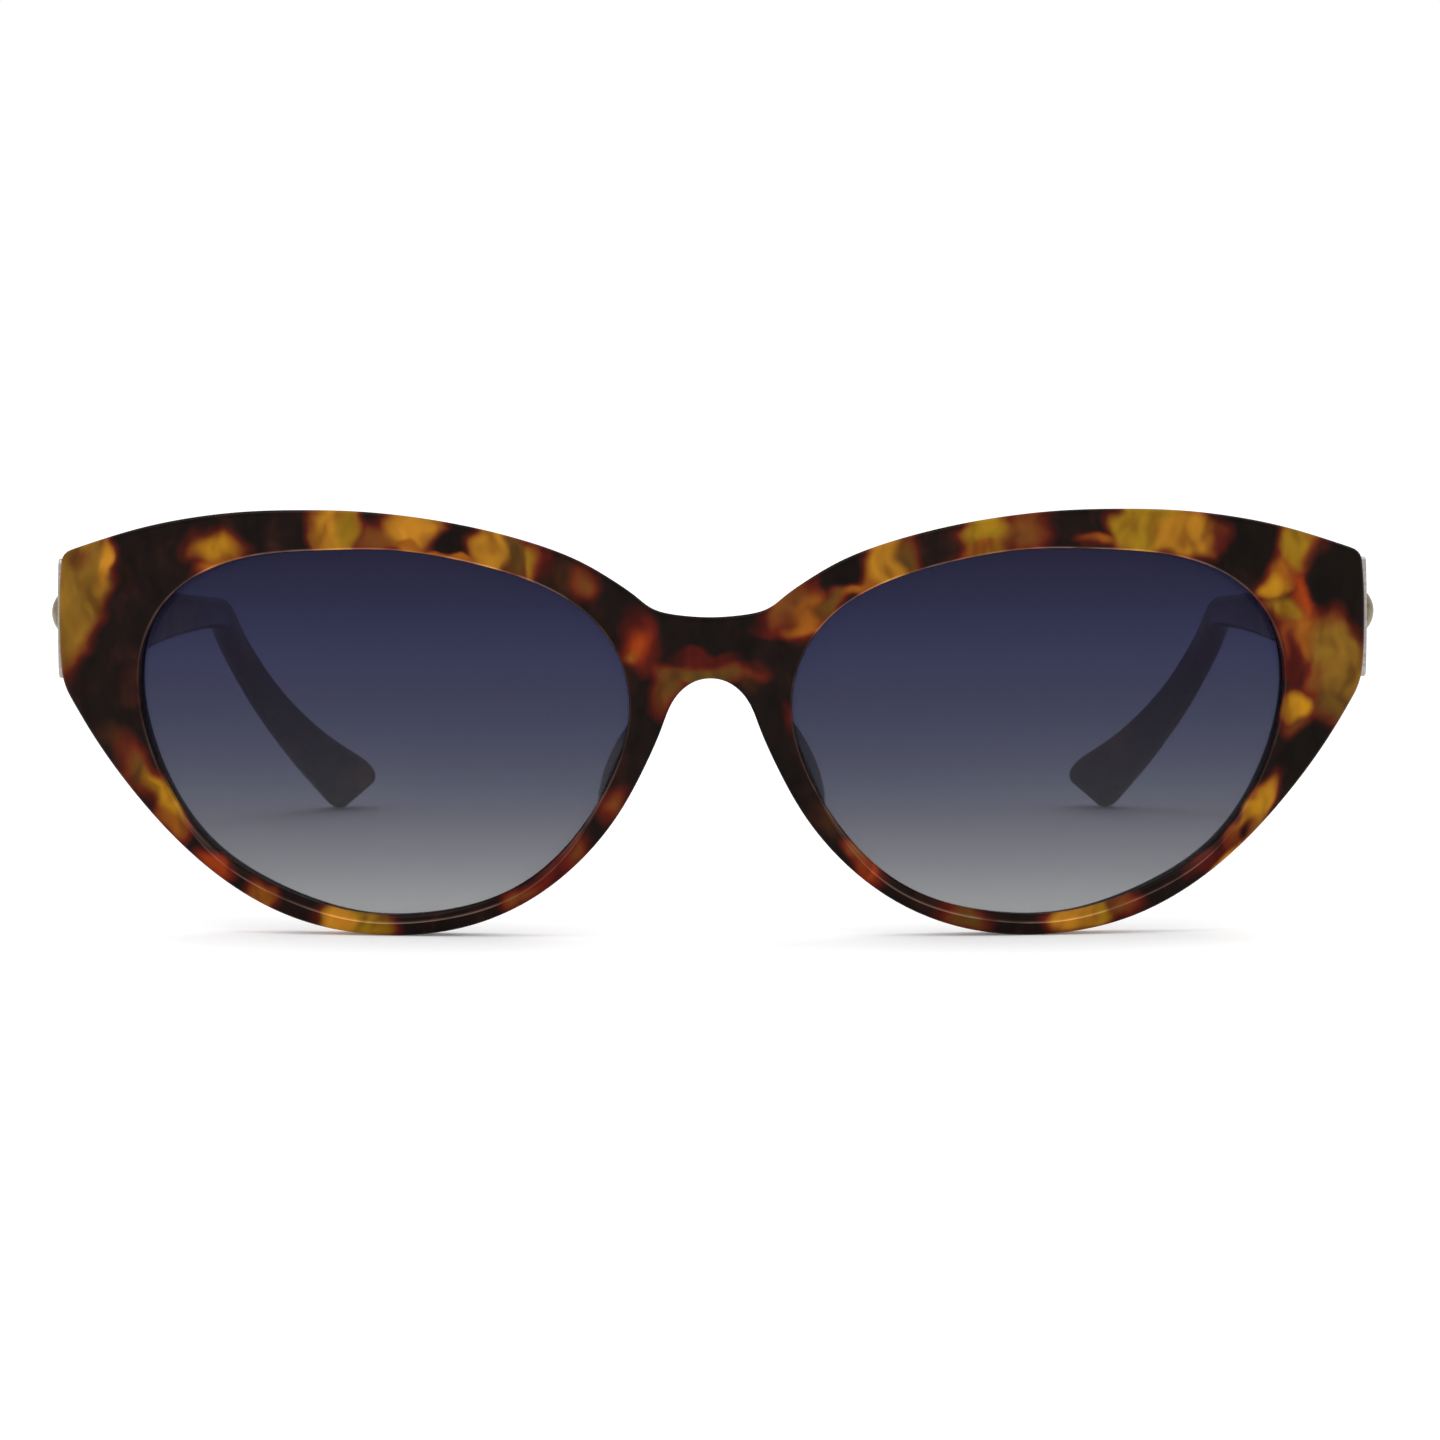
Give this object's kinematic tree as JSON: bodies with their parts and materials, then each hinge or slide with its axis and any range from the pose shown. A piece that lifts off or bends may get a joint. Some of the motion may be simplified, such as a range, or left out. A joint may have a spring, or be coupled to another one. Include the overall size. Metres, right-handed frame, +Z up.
{
  "type": "cat eye sunglasses",
  "caption": "Cat eye sunglasses: tortoise acetate front and folding temples, grey gradient lenses, silver side plaques with domed brass studs.",
  "frame": {"origin": "middle of the footprint of the open glasses, on the surface they stand on", "axes": "+Z up, +Y back along the open temples towards the wearer's ears, -Y the way the lenses look, +X the wearer's left"},
  "size_m": [0.1472, 0.151, 0.0467],
  "materials": {
    "tortoise_acetate": "polished cellulose acetate, tortoise pattern of dark brown with amber, honey and red-brown patches",
    "temple_acetate": "polished cellulose acetate, tortoise pattern",
    "lens_tint": "tinted plastic lens, navy grey at the top fading to light grey at the bottom",
    "hinge_steel": "nickel silver hinge leaves, satin",
    "screw_steel": "turned steel screws and rivets",
    "core_wire": "drawn nickel silver wire",
    "plaque_metal": "polished silver coloured metal with rounded edges",
    "antique_brass": "antique brass dome, soft polish"
  },
  "bodies": {
    "front": {"front_frame": "tortoise_acetate", "lens_left": "lens_tint", "lens_right": "lens_tint", "nose_pad_left": "tortoise_acetate", "nose_pad_right": "tortoise_acetate", "front_hinge_left": "hinge_steel", "front_hinge_right": "hinge_steel", "hinge_screw_left": "screw_steel", "hinge_screw_right": "screw_steel"},
    "temple_left": {"temple_arm_left": "temple_acetate", "temple_hinge_left": "hinge_steel", "temple_core_left": "core_wire", "temple_plaque_left": "plaque_metal", "plaque_stud_left": "antique_brass", "temple_rivets_left": "screw_steel"},
    "temple_right": {"temple_arm_right": "temple_acetate", "temple_hinge_right": "hinge_steel", "temple_core_right": "core_wire", "temple_plaque_right": "plaque_metal", "plaque_stud_right": "antique_brass", "temple_rivets_right": "screw_steel"}
  },
  "joints": [
    {"name": "temple_left_fold", "type": "hinge", "parent": "front", "child": "temple_left", "pos_m": [0.0654, -0.05995, 0.03391], "axis": [0, 0.0523, 0.9986], "range_deg": [0, 84]},
    {"name": "temple_right_fold", "type": "hinge", "parent": "front", "child": "temple_right", "pos_m": [-0.0654, -0.05995, 0.03391], "axis": [0, -0.0523, -0.9986], "range_deg": [0, 64]}
  ]
}
